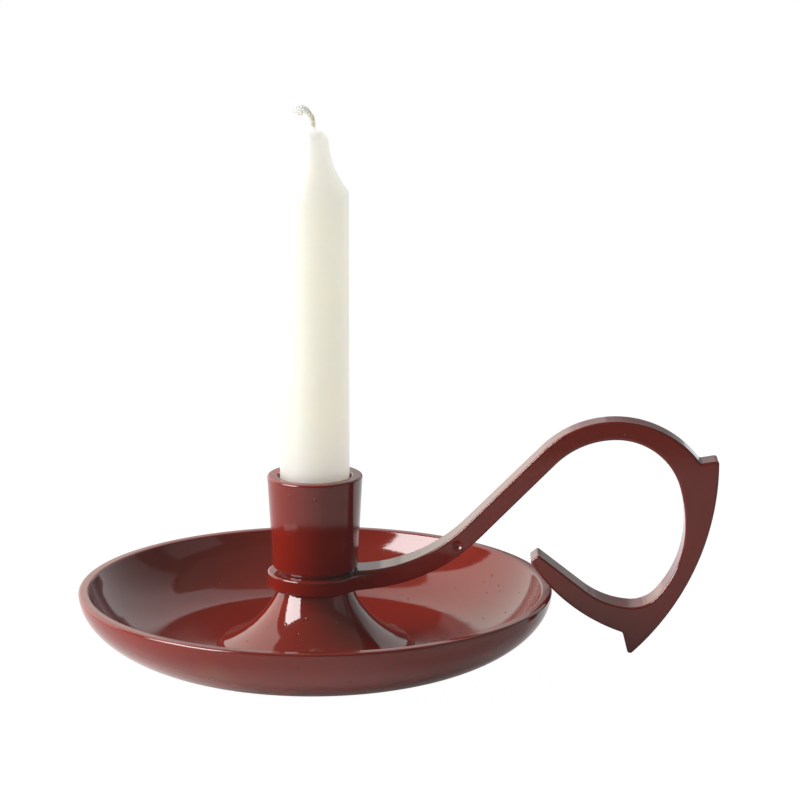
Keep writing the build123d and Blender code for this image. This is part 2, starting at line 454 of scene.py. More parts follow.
def rounded(corners: list[Corner], step: float = 0.12) -> list[Point]:
    """Round the corners of an open outline.

    Args:
        corners: Radius, height and rounding of each corner in turn.
        step: Largest distance between points of a rounding.

    Returns:
        Points of the outline.
    """
    points: list[Point] = []
    last = len(corners) - 1
    for number, (x, z, radius) in enumerate(corners):
        if radius <= 0 or number in (0, last):
            points.append((x, z))
            continue
        here = Vector((x, z))
        back = (Vector(corners[number - 1][:2]) - here).normalized()
        ahead = (Vector(corners[number + 1][:2]) - here).normalized()
        half = back.angle(ahead) / 2
        if half > NEARLY_STRAIGHT:
            points.append((x, z))
            continue
        centre = here + (back + ahead).normalized() * (radius / math.sin(half))
        first = here + back * (radius / math.tan(half)) - centre
        turn = first.angle_signed(here + ahead * (radius / math.tan(half)) - centre)
        points += swept(centre, first, turn, max(4, math.ceil(radius * abs(turn) / step)))
    return points


def unrounded(points: list[Point]) -> list[Corner]:
    """Take points into an outline as they are."""
    return [(x, z, 0.0) for x, z in points]


def closely_spaced(points: list[Point], step: float) -> list[Point]:
    """Divide the long runs of an outline.

    Args:
        points: Points of the outline.
        step: Largest distance between two points.

    Returns:
        The outline with more points.
    """
    dense = [points[0]]
    for start, end in zip(points, points[1:]):
        count = max(1, math.ceil(math.dist(start, end) / step))
        for part in range(1, count + 1):
            share = part / count
            dense.append((start[0] + (end[0] - start[0]) * share, start[1] + (end[1] - start[1]) * share))
    return dense


def arc_between(start: Point, end: Point, radius: float, steps: int) -> list[Point]:
    """Points of an arc that bulges to the left of the way from start to end.

    Args:
        start: First point.
        end: Last point.
        radius: Radius of the arc, negative for the other side.
        steps: Number of steps.

    Returns:
        Points from start to end.
    """
    a, b = Vector(start), Vector(end)
    chord = b - a
    left = Vector((-chord.y, chord.x)).normalized()
    rise = math.sqrt(radius * radius - chord.length_squared / 4)
    centre = (a + b) / 2 - left * math.copysign(rise, radius)
    return swept(centre, a - centre, (a - centre).angle_signed(b - centre), steps)


def ellipse_quarter(centre: Point, half_width: float, half_height: float, steps: int, stop_short: float) -> list[Point]:
    """Points of the lower outer quarter of an ellipse, from its bottom outwards.

    Args:
        centre: Centre of the ellipse.
        half_width: Half its width.
        half_height: Half its height.
        steps: Number of steps.
        stop_short: Height left below the level of the centre.

    Returns:
        Points from the bottom up.
    """
    end = math.acos(stop_short / half_height)
    angles = [end * math.sin(math.pi / 2 * part / steps) for part in range(steps + 1)]
    return [(centre[0] + half_width * math.sin(angle), centre[1] - half_height * math.cos(angle)) for angle in angles]


# Geometry Nodes


def put(name: str, data: bpy.types.ID) -> bpy.types.Object:
    """Put a mesh, lamp or camera into the scene.

    Args:
        name: Name of the object.
        data: What it holds.

    Returns:
        The object.
    """
    obj = bpy.data.objects.new(name, data)
    bpy.context.scene.collection.objects.link(obj)
    return obj


def chain(name: str, points: list[Spot]) -> bpy.types.Object:
    """Make an object of one chain of points.

    Args:
        name: Name of the object.
        points: Points in millimetres.

    Returns:
        The object.
    """
    mesh = bpy.data.meshes.new(name)
    mesh.from_pydata([Vector(point) * MM for point in points], [(n, n + 1) for n in range(len(points) - 1)], [])
    return put(name, mesh)


@dataclass(frozen=True)
class Recipe:
    """Geometry Nodes tree with the identifiers of its inputs."""

    tree: bpy.types.NodeTree
    keys: dict[str, str]

    def make(self, obj: bpy.types.Object, values: dict[str, object]) -> bpy.types.Object:
        """Run the tree on an object and keep its result as a plain mesh.

        Args:
            obj: Object whose mesh the tree reads.
            values: Value of each input, by name.

        Returns:
            The object with its new mesh.
        """
        modifier = obj.modifiers.new(self.tree.name, "NODES")
        modifier.node_group = self.tree
        for name, value in values.items():
            modifier[self.keys[name]] = value
        depsgraph = bpy.context.evaluated_depsgraph_get()
        mesh = bpy.data.meshes.new_from_object(
            obj.evaluated_get(depsgraph), preserve_all_data_layers=True, depsgraph=depsgraph)
        obj.modifiers.remove(modifier)
        spent = obj.data
        obj.data = mesh
        bpy.data.meshes.remove(spent)
        mesh.name = obj.name
        return obj


class GeometryNet(Net):
    """Geometry Nodes tree in the making."""

    def __init__(self, name: str, inputs: dict[str, str]) -> None:
        """Start the tree.

        Args:
            name: Name of the tree.
            inputs: Kind of each named input between the geometry and the finish.
        """
        super().__init__(bpy.data.node_groups.new(name, "GeometryNodeTree"))
        sockets = self.tree.interface
        sockets.new_socket("Geometry", in_out="INPUT", socket_type="NodeSocketGeometry")
        self.keys = {}
        for label, kind in {**inputs, "Finish": "Material"}.items():
            self.keys[label] = sockets.new_socket(label, in_out="INPUT", socket_type="NodeSocket" + kind).identifier
        sockets.new_socket("Geometry", in_out="OUTPUT", socket_type="NodeSocketGeometry")
        self.given = self.node("NodeGroupInput").outputs

    def close(self, geometry: bpy.types.Node) -> Recipe:
        """End the tree with smooth shading, real geometry and the finish.

        Args:
            geometry: Node whose geometry is put out.

        Returns:
            The tree, ready for use.
        """
        smooth = self.node("GeometryNodeSetShadeSmooth", {"Geometry": geometry})
        real = self.node("GeometryNodeRealizeInstances", {"Geometry": smooth})
        finish = self.node("GeometryNodeSetMaterial", {"Geometry": real, "Material": self.given["Finish"]})
        self.node("NodeGroupOutput", {0: finish})
        return Recipe(self.tree, self.keys)


class Workshop:
    """Geometry Nodes recipes, each built once."""

    def __init__(self) -> None:
        """Build the recipes."""
        self.turning = self._turning()
        self.braiding = self._braiding()
        self.strewing = self._strewing()
        self.beading = self._beading()

    @staticmethod
    def _turning() -> Recipe:
        """Turn an outline about the upright axis.

        Returns:
            The recipe.
        """
        weld = 0.002 * MM
        net = GeometryNet("turned_piece", {"Segments": "Int"})
        given = net.given
        size = net.node("GeometryNodeAttributeDomainSize", {"Geometry": given["Geometry"]}, component="MESH")
        rows = size.outputs["Point Count"]
        columns = net.calc("ADD", given["Segments"], 1.0)
        grid = net.node("GeometryNodeMeshGrid", {"Vertices X": columns, "Vertices Y": rows})
        index = net.node("GeometryNodeInputIndex").outputs[0]
        column = net.calc("FLOOR", net.calc("DIVIDE", net.calc("ADD", index, 0.5), rows))
        row = net.calc("SUBTRACT", index, net.product(column, rows))
        outline = net.node("GeometryNodeSampleIndex", {
            "Geometry": given["Geometry"],
            "Value": net.node("GeometryNodeInputPosition"),
            "Index": row,
        }, data_type="FLOAT_VECTOR", domain="POINT")
        part = net.split(outline)
        angle = net.product(net.calc("DIVIDE", column, given["Segments"]), math.tau)
        spot = net.node("ShaderNodeCombineXYZ", {
            "X": net.product(part["X"], net.calc("COSINE", angle)),
            "Y": net.product(part["X"], net.calc("SINE", angle)),
            "Z": part["Z"],
        })
        moved = net.node("GeometryNodeSetPosition", {"Geometry": grid, "Position": spot})
        welded = net.node("GeometryNodeMergeByDistance", {"Geometry": moved, "Distance": weld})
        return net.close(welded)

    @staticmethod
    def _braiding() -> Recipe:
        """Lay strands round a path, half of them each way, thin them at its end and fan them out.

        Returns:
            The recipe.
        """
        crossings, swell_share = 4.0, 0.16
        fan_from, thin_from, thin_to, thin_share = 0.968, 0.966, 0.988, 0.72
        net = GeometryNet("braided_wick", {
            "Strands": "Int",
            "Points": "Int",
            "Turns": "Float",
            "Lay Radius": "Float",
            "Strand Radius": "Float",
            "Fray": "Float",
        })
        given = net.given
        path = net.node("GeometryNodeMeshToCurve", {0: given["Geometry"]})
        even = net.node("GeometryNodeResampleCurve", {"Curve": path, "Count": given["Points"]})
        copies = net.node(
            "GeometryNodeDuplicateElements", {"Geometry": even, "Amount": given["Strands"]}, domain="SPLINE")
        number = copies.outputs["Duplicate Index"]
        along = net.node("GeometryNodeSplineParameter").outputs["Factor"]
        way = net.calc("SUBTRACT", net.product(net.calc("MODULO", number, 2.0), 2.0), 1.0)
        first = net.product(net.calc("DIVIDE", number, given["Strands"]), math.tau)
        lay = net.product(along, given["Turns"], math.tau)
        angle = net.calc("ADD", first, net.product(lay, way))
        swell = net.product(net.calc("SINE", net.product(lay, crossings)), way, swell_share)
        fan = net.product(net.ramp(along, fan_from, 1.0), given["Fray"])
        radius = net.product(given["Lay Radius"], net.calc("ADD", net.calc("ADD", 1.0, swell), fan))
        normal = net.node("GeometryNodeInputNormal")
        tangent = net.node("GeometryNodeInputTangent")
        side = net.node("ShaderNodeVectorMath", {0: tangent, 1: normal}, operation="CROSS_PRODUCT")
        offsets = {}
        for place, (axis, wave) in enumerate(((normal, "COSINE"), (side, "SINE"))):
            length = net.product(radius, net.calc(wave, angle))
            offsets[place] = net.node("ShaderNodeVectorMath", {0: axis, "Scale": length}, operation="SCALE")
        offset = net.node("ShaderNodeVectorMath", offsets, operation="ADD")
        moved = net.node("GeometryNodeSetPosition", {"Geometry": copies, "Offset": offset})
        section = net.node("GeometryNodeCurvePrimitiveCircle", {"Resolution": 6, "Radius": given["Strand Radius"]})
        thinned = net.calc("SUBTRACT", 1.0, net.product(net.ramp(along, thin_from, thin_to), thin_share))
        return net.close(net.node("GeometryNodeCurveToMesh", {
            "Curve": moved, "Profile Curve": section, "Scale": thinned, "Fill Caps": True}))

    @staticmethod
    def _strewing() -> Recipe:
        """Strew flat domes over a surface.

        Returns:
            The recipe.
        """
        net = GeometryNet("strewn_nibs", {
            "Density": "Float", "Smallest": "Float", "Largest": "Float", "Flatness": "Float", "Seed": "Int"})
        given = net.given
        spots = net.node("GeometryNodeDistributePointsOnFaces", {
            "Mesh": given["Geometry"], "Density": given["Density"], "Seed": given["Seed"]})
        random = net.node(
            "FunctionNodeRandomValue", {2: given["Smallest"], 3: given["Largest"], "Seed": given["Seed"]})
        size = random.outputs[1]
        scale = net.node("ShaderNodeCombineXYZ", {"X": size, "Y": size, "Z": net.product(size, given["Flatness"])})
        dome = net.node("GeometryNodeMeshUVSphere", {"Segments": 8, "Rings": 5, "Radius": 1.0})
        return net.close(net.node("GeometryNodeInstanceOnPoints", {
            "Points": spots, "Instance": dome, "Rotation": spots.outputs["Rotation"], "Scale": scale}))

    @staticmethod
    def _beading() -> Recipe:
        """Lay a bead along a path, fine at both ends.

        Returns:
            The recipe.
        """
        end_share = 0.3
        net = GeometryNet("enamel_bead", {"Points": "Int", "Radius": "Float"})
        given = net.given
        path = net.node("GeometryNodeMeshToCurve", {0: given["Geometry"]})
        soft = net.node("GeometryNodeCurveSplineType", {0: path}, spline_type="CATMULL_ROM")
        even = net.node("GeometryNodeResampleCurve", {"Curve": soft, "Count": given["Points"]})
        along = net.node("GeometryNodeSplineParameter").outputs["Factor"]
        swell = net.calc("SINE", net.product(along, math.pi))
        section = net.node("GeometryNodeCurvePrimitiveCircle", {"Resolution": 10, "Radius": given["Radius"]})
        scale = net.calc("MULTIPLY_ADD", swell, 1.0 - end_share, end_share)
        return net.close(net.node("GeometryNodeCurveToMesh", {
            "Curve": even, "Profile Curve": section, "Scale": scale, "Fill Caps": True}))

    def turned(self, name: str, outline: list[Point], segments: int, finish: bpy.types.Material) -> bpy.types.Object:
        """Turn an outline about the upright axis, facing outwards.

        Args:
            name: Name of the piece.
            outline: Points of radius and height in millimetres.
            segments: Number of segments round the axis.
            finish: Material of the piece.

        Returns:
            The piece.
        """
        obj = chain(name, [(radius, 0.0, height) for radius, height in outline])
        self.turning.make(obj, {"Segments": segments, "Finish": finish})
        shell = bmesh.new()
        shell.from_mesh(obj.data)
        if shell.calc_volume(signed=True) < 0:
            bmesh.ops.reverse_faces(shell, faces=shell.faces)
            shell.to_mesh(obj.data)
        shell.free()
        return obj


# Pieces


def place(obj: bpy.types.Object, body: Body, slot: Slot, *nodes: str) -> bpy.types.Object:
    """Hand a piece to the frame.

    Args:
        obj: Piece, in place.
        body: Body that it rides on.
        slot: Slot of its finish; not used.
        *nodes: Solids that it stands for.

    Returns:
        The piece.
    """
    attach(obj, body.value)
    if nodes:
        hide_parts(*nodes)
    LOG.info("%s: %d faces on %s", obj.name, len(obj.data.polygons), body.value)
    return obj


def dress(node: str, finish: bpy.types.Material) -> bpy.types.Object:
    """Give a solid of the frame its finish.

    Args:
        node: Name of the solid.
        finish: Material.

    Returns:
        The solid's object.
    """
    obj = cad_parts[node]
    for slot in obj.material_slots:
        slot.material = finish
    LOG.info("%s: dressed", node)
    return obj


@dataclass
class Casting:
    """Enamelled casting that is turned about the upright axis. Its sizes are in millimetres."""

    name: str
    node: str
    segments: int

    def outline(self) -> list[Point]:
        """Outline of the casting, which each casting gives."""
        raise NotImplementedError

    def build(self, workshop: Workshop, enamel: bpy.types.Material) -> bpy.types.Object:
        """Turn the casting in its finish and hand it to the frame."""
        piece = workshop.turned(self.name, self.outline(), self.segments, enamel)
        return place(piece, Body.HOLDER, Slot.ENAMEL, self.node)


@dataclass
class DripPan(Casting):
    """Round dish with an upswept wall, a flat rim and a screw recess below."""

    name: str = "dish"
    node: str = "drip_pan"
    segments: int = 256
    radius: float = 75.0
    height: float = 23.0
    base_radius: float = 31.0
    rim_width: float = 3.3
    rim_round: float = 0.8
    rim_drop: float = 1.6
    floor: float = 3.8
    slope_end: Point = (49.5, 5.4)
    slope_power: float = 1.7
    boss_radius: float = 12.0
    boss_top: float = 9.6
    hole_radius: float = 3.3
    recess_radius: float = 8.0
    recess_depth: float = 6.6
    edge_round: float = 0.35

    def outline(self) -> list[Point]:
        """Outline of the dish from the hole under the floor, round the rim and back.

        Returns:
            Its points.
        """
        foot = (self.base_radius, self.height)
        outside = ellipse_quarter(foot, self.radius - self.base_radius, self.height, steps=64, stop_short=self.rim_drop)
        soft = self.edge_round
        in_hole = (self.hole_radius, (self.recess_depth + self.boss_top) / 2, 0.0)
        corners = [
            in_hole,
            (self.hole_radius, self.recess_depth, soft),
            (self.recess_radius, self.recess_depth, soft),
            (self.recess_radius, 0.0, soft),
            *unrounded(outside),
            (self.radius, self.height, self.rim_round),
            (self.radius - self.rim_width, self.height, self.rim_round),
            *reversed(unrounded(self._wall())),
            *reversed(unrounded(self._slope())),
            (self.boss_radius, self.floor, soft),
            (self.boss_radius, self.boss_top, soft),
            (self.hole_radius, self.boss_top, soft),
            in_hole,
        ]
        return closely_spaced(rounded(corners), step=0.9)

    def _slope(self) -> list[Point]:
        """Floor outside the foot, level at first and rising to the wall.

        Returns:
            Its points from the foot outwards.
        """
        run, rise = self.slope_end[0] - self.base_radius, self.slope_end[1] - self.floor
        steps = 24
        return [(self.base_radius + run * n / steps, self.floor + rise * (n / steps) ** self.slope_power)
                for n in range(steps)]

    def _wall(self) -> list[Point]:
        """Inner wall, one arc that leaves the floor smoothly, up to just below the rim.

        Returns:
            Its points from the floor up.
        """
        start, end = Vector(self.slope_end), Vector((self.radius - self.rim_width, self.height))
        run, rise = start.x - self.base_radius, start.y - self.floor
        along = Vector((run, rise * self.slope_power)).normalized()
        chord = end - start
        radius = chord.length_squared / (2 * along.cross(chord))
        return arc_between(tuple(start), tuple(end), -radius, steps=48)[:-2]


@dataclass
class Pedestal(Casting):
    """Trumpet-shaped foot, hollow below to sit over the dish's boss."""

    name: str = "flared_foot"
    node: str = "pedestal"
    segments: int = 224
    bottom: float = 3.8
    top: float = 23.7
    foot_radius: float = 30.1
    foot_edge: float = 1.9
    foot_round: float = 1.3
    seam_width: float = 1.5
    seam_height: float = 0.9
    seam_hollow: float = 1.3
    neck_radius: float = 11.5
    flare_radius: float = 30.0
    socket_radius: float = 12.2
    socket_top: float = 9.8
    hole_radius: float = 3.3
    start_depth: float = 3.0
    edge_round: float = 0.3

    def outline(self) -> list[Point]:
        """Outline of the foot from its hole, over the flare and back.

        Returns:
            Its points.
        """
        foot = (self.foot_radius, self.bottom + self.foot_edge)
        flare = arc_between((self.neck_radius, self.top), foot, -self.flare_radius, steps=40)
        seam_top = (self.foot_radius, self.bottom + self.seam_height)
        seam_foot = (self.foot_radius + self.seam_width, self.bottom)
        seam = arc_between(seam_top, seam_foot, -self.seam_hollow * self.seam_width, steps=6)
        soft = self.edge_round
        in_hole = (self.hole_radius, self.top - self.start_depth, 0.0)
        corners = [
            in_hole,
            (self.hole_radius, self.top, soft),
            (self.neck_radius, self.top, soft),
            *unrounded(flare[2:-3]),
            (*foot, self.foot_round),
            *unrounded(seam),
            (self.socket_radius, self.bottom, soft),
            (self.socket_radius, self.socket_top, soft),
            (self.hole_radius, self.socket_top, soft),
            in_hole,
        ]
        return closely_spaced(rounded(corners), step=0.7)


@dataclass
class CandleCup(Casting):
    """Tapered cup with a plain socket, and a tapped spigot below."""

    name: str = "socket_cup"
    node: str = "candle_cup"
    segments: int = 192
    base: float = 28.5
    rim: float = 59.7
    top_radius: float = 15.1
    base_radius: float = 13.4
    base_round: float = 0.9
    foot_radius: float = 11.2
    foot_height: float = 1.3
    rim_round: float = 0.7
    socket_radius: float = 11.5
    socket_floor: float = 34.3
    socket_round: float = 1.0
    spigot_radius: float = 5.0
    spigot_end: float = 24.0
    thread_radius: float = 3.05
    thread_end: float = 32.5
    edge_round: float = 0.3

    def outline(self) -> list[Point]:
        """Outline of the cup from the middle of its socket, over the rim, to the end of its thread.

        Returns:
            Its points.
        """
        soft = self.edge_round
        corners = [
            (0.0, self.socket_floor, 0.0),
            (self.socket_radius, self.socket_floor, self.socket_round),
            (self.socket_radius, self.rim, self.rim_round),
            (self.top_radius, self.rim, self.rim_round),
            (self.base_radius, self.base + self.foot_height, self.base_round),
            (self.foot_radius, self.base + self.foot_height, soft),
            (self.foot_radius, self.base, 0.0),
            (self.spigot_radius, self.base, soft),
            (self.spigot_radius, self.spigot_end, soft),
            (self.thread_radius, self.spigot_end, soft),
            (self.thread_radius, self.thread_end, soft),
            (0.0, self.thread_end, 0.0),
        ]
        return closely_spaced(rounded(corners), step=0.7)


@dataclass
class Candle:
    """Cream household candle with a drawn-in top, and its wick. Sizes are in millimetres and degrees."""

    segments: int = 160
    foot: float = 34.3
    foot_round: float = 0.6
    radius: float = 11.0
    shoulder: float = 149.8
    shoulder_round: float = 1.2
    waist: Point = (7.0, 156.5)
    taper_end: Point = (4.7, 166.2)
    crown_end: Point = (1.75, 168.9)
    crown_round: float = 3.6
    neck_top: float = 170.4
    neck_radius: float = 1.1
    neck_round: float = 0.2
    wick_foot: float = 0.1
    wick_stand: float = 0.45
    wick_step: float = 5.0
    lean_radius: float = 6.0
    lean_turn: float = 45.0
    hook_radius: float = 1.9
    hook_turn: float = 120.0
    strands: int = 12
    strand_points: int = 620
    lay_turns: float = 34.0
    lay_radius: float = 0.57
    strand_radius: float = 0.22
    fray: float = 1.7

    def outline(self) -> list[Point]:
        """Outline of the wax from the middle of its foot, up the side and over the crown, with the wick soaked in.

        Returns:
            Its points.
        """
        start, end = (self.radius, self.shoulder), self.taper_end
        a, b, c = Vector(start), Vector(self.waist), Vector(end)
        radius = (a - b).length * (b - c).length * (c - a).length / (2 * abs((b - a).cross(c - a)))
        taper = arc_between(start, end, radius, steps=36)
        crown = arc_between(end, self.crown_end, -self.crown_round, steps=14)
        corners = [
            (0.0, self.foot, 0.0),
            (self.radius, self.foot, self.foot_round),
            (self.radius, self.shoulder, self.shoulder_round),
            *unrounded(taper[3:-1]),
            *unrounded(crown[1:]),
            (self.neck_radius, self.neck_top, self.neck_round),
            (0.0, self.neck_top, 0.0),
        ]
        return closely_spaced(rounded(corners, step=0.08), step=1.2)

    def wick_path(self) -> list[Spot]:
        """Middle line of the wick, up through the wax and over in a hook.

        Returns:
            Its points from the foot up.
        """
        points = [(0.0, 0.0, self.foot + self.wick_foot), (0.0, 0.0, self.neck_top + self.wick_stand)]
        heading = 90.0
        here = Vector((0.0, self.neck_top + self.wick_stand))
        for radius, turn in ((self.lean_radius, self.lean_turn), (self.hook_radius, self.hook_turn)):
            steps = math.ceil(turn / self.wick_step)
            for _ in range(steps):
                middle = math.radians(heading + turn / steps / 2)
                here = here + Vector((math.cos(middle), math.sin(middle))) * radius * math.radians(turn / steps)
                heading += turn / steps
                points.append((here.x, 0.0, here.y))
        return points

    def build(self, workshop: Workshop, wax: bpy.types.Material, cotton: bpy.types.Material) -> None:
        """Turn the candle and braid its wick.

        Args:
            workshop: Recipes that make them.
            wax: Finish of the candle.
            cotton: Finish of the wick.
        """
        candle = workshop.turned("wax_candle", self.outline(), self.segments, wax)
        place(candle, Body.CANDLE, Slot.WAX, "candle")
        wick = workshop.braiding.make(chain("braided_wick", self.wick_path()), {
            "Strands": self.strands,
            "Points": self.strand_points,
            "Turns": self.lay_turns,
            "Lay Radius": self.lay_radius * MM,
            "Strand Radius": self.strand_radius * MM,
            "Fray": self.fray,
            "Finish": cotton,
        })
        place(wick, Body.CANDLE, Slot.COTTON, "wick")


@dataclass(frozen=True)
class Nib:
    """Bead or bubble that the enamel kept, on the surface nearest to its place in millimetres."""

    place: Spot
    radius: float


@dataclass
class EnamelMarks:
    """Nibs and a run of the fired enamel that the photograph shows, and finer nibs strewn about."""

    density: float = 3200.0
    smallest: float = 0.07
    largest: float = 0.24
    flatness: float = 0.5
    seed: int = 11
    inner_radius: float = 12.6
    outer_radius: float = 72.0
    foot_radius: float = 32.0
    foot_level: float = 3.95
    table_level: float = 0.8
    nibs: tuple[Nib, ...] = (
        Nib((-9.1, -14.2, 14.6), 0.60),
        Nib((-2.5, -14.9, 16.8), 0.34),
        Nib((-5.6, -15.8, 14.8), 0.24),
        Nib((-4.7, -18.0, 12.8), 0.32),
        Nib((-16.8, -9.6, 12.0), 0.26),
        Nib((-14.6, -11.4, 12.8), 0.32),
        Nib((-5.2, -21.3, 9.9), 0.24),
        Nib((-13.0, -7.6, 24.5), 0.26),
        Nib((0.5, -14.8, 55.0), 0.46),
        Nib((3.2, -14.0, 47.7), 0.24),
        Nib((-8.0, -12.6, 56.0), 0.28),
        Nib((56.1, 44.0, 22.1), 0.32),
        Nib((56.7, 37.3, 16.2), 0.34),
        Nib((58.8, 31.1, 14.6), 0.34),
        Nib((59.1, 28.1, 13.4), 0.30),
        Nib((54.9, 32.3, 11.9), 0.28),
        Nib((44.7, 43.0, 10.5), 0.24),
        Nib((60.6, 13.4, 10.6), 0.30),
        Nib((53.7, 17.5, 7.4), 0.26),
        Nib((46.2, 9.4, 5.1), 0.34),
        Nib((50.9, 46.5, 17.7), 0.26),
        Nib((29.3, 44.8, 6.3), 0.38),
        Nib((97.4, -4.3, 73.6), 0.30),
        Nib((109.0, -3.1, 74.3), 0.28),
        Nib((111.2, -4.4, 68.8), 0.20),
    )
    run: tuple[Spot, ...] = (
        (14.5, -7.1, 28.5),
        (15.0, -6.9, 27.2),
        (15.5, -6.7, 26.2),
        (15.9, -6.4, 27.7),
        (16.9, -5.9, 28.3),
        (18.1, -5.5, 28.0),
        (20.0, -5.4, 28.3),
        (22.4, -5.4, 28.8),
    )
    run_radius: float = 0.26
    run_points: int = 64

    def build(self, workshop: Workshop, enamel: bpy.types.Material, castings: list[bpy.types.Object],
              handle: bpy.types.Object) -> None:
        """Strew the fine nibs, then set the larger ones and lay the run.

        Args:
            workshop: Recipes that make them.
            enamel: Their finish.
            castings: Turned pieces that carry the fine nibs.
            handle: Handle, which carries larger ones.
        """
        self._strew(workshop, enamel, castings)
        shell = self._shell([*castings, handle])
        surface = BVHTree.FromBMesh(shell)
        shell.free()
        self._set(enamel, surface)
        along = [tuple(surface.find_nearest(Vector(spot) * MM)[0] / MM) for spot in self.run]
        run = workshop.beading.make(chain("enamel_run", along), {
            "Points": self.run_points, "Radius": self.run_radius * MM, "Finish": enamel})
        place(run, Body.HOLDER, Slot.ENAMEL)

    @staticmethod
    def _shell(pieces: list[bpy.types.Object]) -> bmesh.types.BMesh:
        """Gather the faces of several pieces in one mesh.

        Args:
            pieces: Pieces to gather.

        Returns:
            The mesh in the making.
        """
        shell = bmesh.new()
        for piece in pieces:
            shell.from_mesh(piece.data)
        return shell

    @staticmethod
    def _closed(name: str, shell: bmesh.types.BMesh) -> bpy.types.Object:
        """Make an object of a mesh in the making.

        Args:
            name: Name of the object.
            shell: Mesh, which is spent.

        Returns:
            The object.
        """
        mesh = bpy.data.meshes.new(name)
        shell.to_mesh(mesh)
        shell.free()
        return put(name, mesh)

    def _open(self, spot: Vector) -> bool:
        """Tell whether the enamel at a spot is open to view, and clear of the outermost edge and the table.

        Args:
            spot: Spot on the enamel.

        Returns:
            Whether it is.
        """
        radius, height = math.hypot(spot.x, spot.y) / MM, spot.z / MM
        lowest = self.foot_level if radius < self.foot_radius else self.table_level
        return self.inner_radius < radius < self.outer_radius and height > lowest

    def _strew(self, workshop: Workshop, enamel: bpy.types.Material, castings: list[bpy.types.Object]) -> None:
        """Strew fine nibs over the turned pieces.

        Args:
            workshop: Recipes that make them.
            enamel: Their finish.
            castings: Pieces that carry them.
        """
        shell = self._shell(castings)
        covered = [face for face in shell.faces if not self._open(face.calc_center_median())]
        bmesh.ops.delete(shell, geom=covered, context="FACES")
        nibs = workshop.strewing.make(self._closed("fine_nibs", shell), {
            "Density": self.density,
            "Smallest": self.smallest * MM,
            "Largest": self.largest * MM,
            "Flatness": self.flatness,
            "Seed": self.seed,
            "Finish": enamel,
        })
        place(nibs, Body.HOLDER, Slot.ENAMEL)

    def _set(self, enamel: bpy.types.Material, surface: BVHTree) -> None:
        """Set the larger nibs where the photograph shows them.

        Args:
            enamel: Their finish.
            surface: Surface that they sit on.
        """
        domes = bmesh.new()
        for nib in self.nibs:
            spot, normal, _, _ = surface.find_nearest(Vector(nib.place) * MM)
            turn = normal.to_track_quat("Z", "Y").to_matrix().to_4x4()
            size = Matrix.Diagonal((nib.radius * MM, nib.radius * MM, nib.radius * MM * self.flatness, 1.0))
            bmesh.ops.create_uvsphere(
                domes, u_segments=14, v_segments=8, radius=1.0, matrix=Matrix.Translation(spot) @ turn @ size)
        for face in domes.faces:
            face.smooth = True
        nibs = self._closed("large_nibs", domes)
        nibs.data.materials.append(enamel)
        place(nibs, Body.HOLDER, Slot.ENAMEL)


# Studio


def towards(bearing: float, height: float) -> Vector:
    """Way of length 1 to a bearing and a height in degrees, 0 being the camera's bearing and 90 to its right."""
    turn, rise = math.radians(bearing), math.radians(height)
    return Vector((math.sin(turn) * math.cos(rise), -math.cos(turn) * math.cos(rise), math.sin(rise)))


@dataclass(frozen=True)
class Card:
    """Sheet of the studio that shows only in the gloss, between two bearings and two heights in degrees."""

    name: str
    bearings: tuple[float, float]
    heights: tuple[float, float]
    glow: tuple[float, float]
    reach: float = 2.2
    tint: Tint = WHITE


@dataclass(frozen=True)
class Lamp:
    """Square lamp that faces the object and leaves the gloss to the cards. Its power is in watts."""

    name: str
    bearing: float
    height: float
    power: float
    lit: Lit = Lit.ALL
    distance: float = 1.0
    size: float = 0.7


